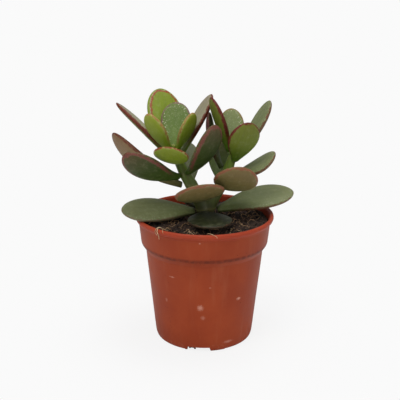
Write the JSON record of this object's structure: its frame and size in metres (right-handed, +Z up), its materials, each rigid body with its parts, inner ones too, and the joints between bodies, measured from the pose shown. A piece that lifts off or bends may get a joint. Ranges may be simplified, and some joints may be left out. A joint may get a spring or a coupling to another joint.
{
  "type": "potted jade plant",
  "caption": "Young jade plant with thick oval leaves on a forked green stem, growing in soil in a small tapered plastic nursery pot.",
  "frame": {"origin": "on the pot's axis at the level of the foot pads, within 1 mm of the middle of the bounding box's underside", "axes": "+Z up along the pot's axis; the pictured front faces -Y; +X to the right seen from the front"},
  "size_m": [0.1128, 0.085, 0.1513],
  "materials": {
    "pot_plastic": "satin terracotta-coloured moulded polypropylene",
    "soil": "dark brown peat compost, rough; fabric stands in for loose compost",
    "stem": "smooth green succulent stem; rubber stands in for water-filled tissue",
    "leaf": "waxy green succulent leaf with a red-brown margin; rubber stands in for water-filled tissue"
  },
  "bodies": {
    "root": {"pot": "pot_plastic", "soil": "soil", "stem": "stem", "base_right_leaf": "leaf", "base_left_leaf": "leaf", "base_front_leaf": "leaf", "base_back_leaf": "leaf", "left_low_front_leaf": "leaf", "left_low_back_leaf": "leaf", "left_long_leaf": "leaf", "left_side_leaf": "leaf", "left_inner_leaf": "leaf", "left_front_leaf": "leaf", "left_back_leaf": "leaf", "left_wing_leaf": "leaf", "left_spear_leaf": "leaf", "left_heart_leaf": "leaf", "left_top_leaf_a": "leaf", "left_top_leaf_b": "leaf", "right_low_front_leaf": "leaf", "right_low_back_leaf": "leaf", "right_side_leaf": "leaf", "right_inner_leaf": "leaf", "right_front_leaf": "leaf", "right_back_leaf": "leaf", "right_spear_leaf": "leaf", "right_wing_leaf": "leaf", "left_bud": "leaf", "right_bud": "leaf"}
  },
  "joints": []
}
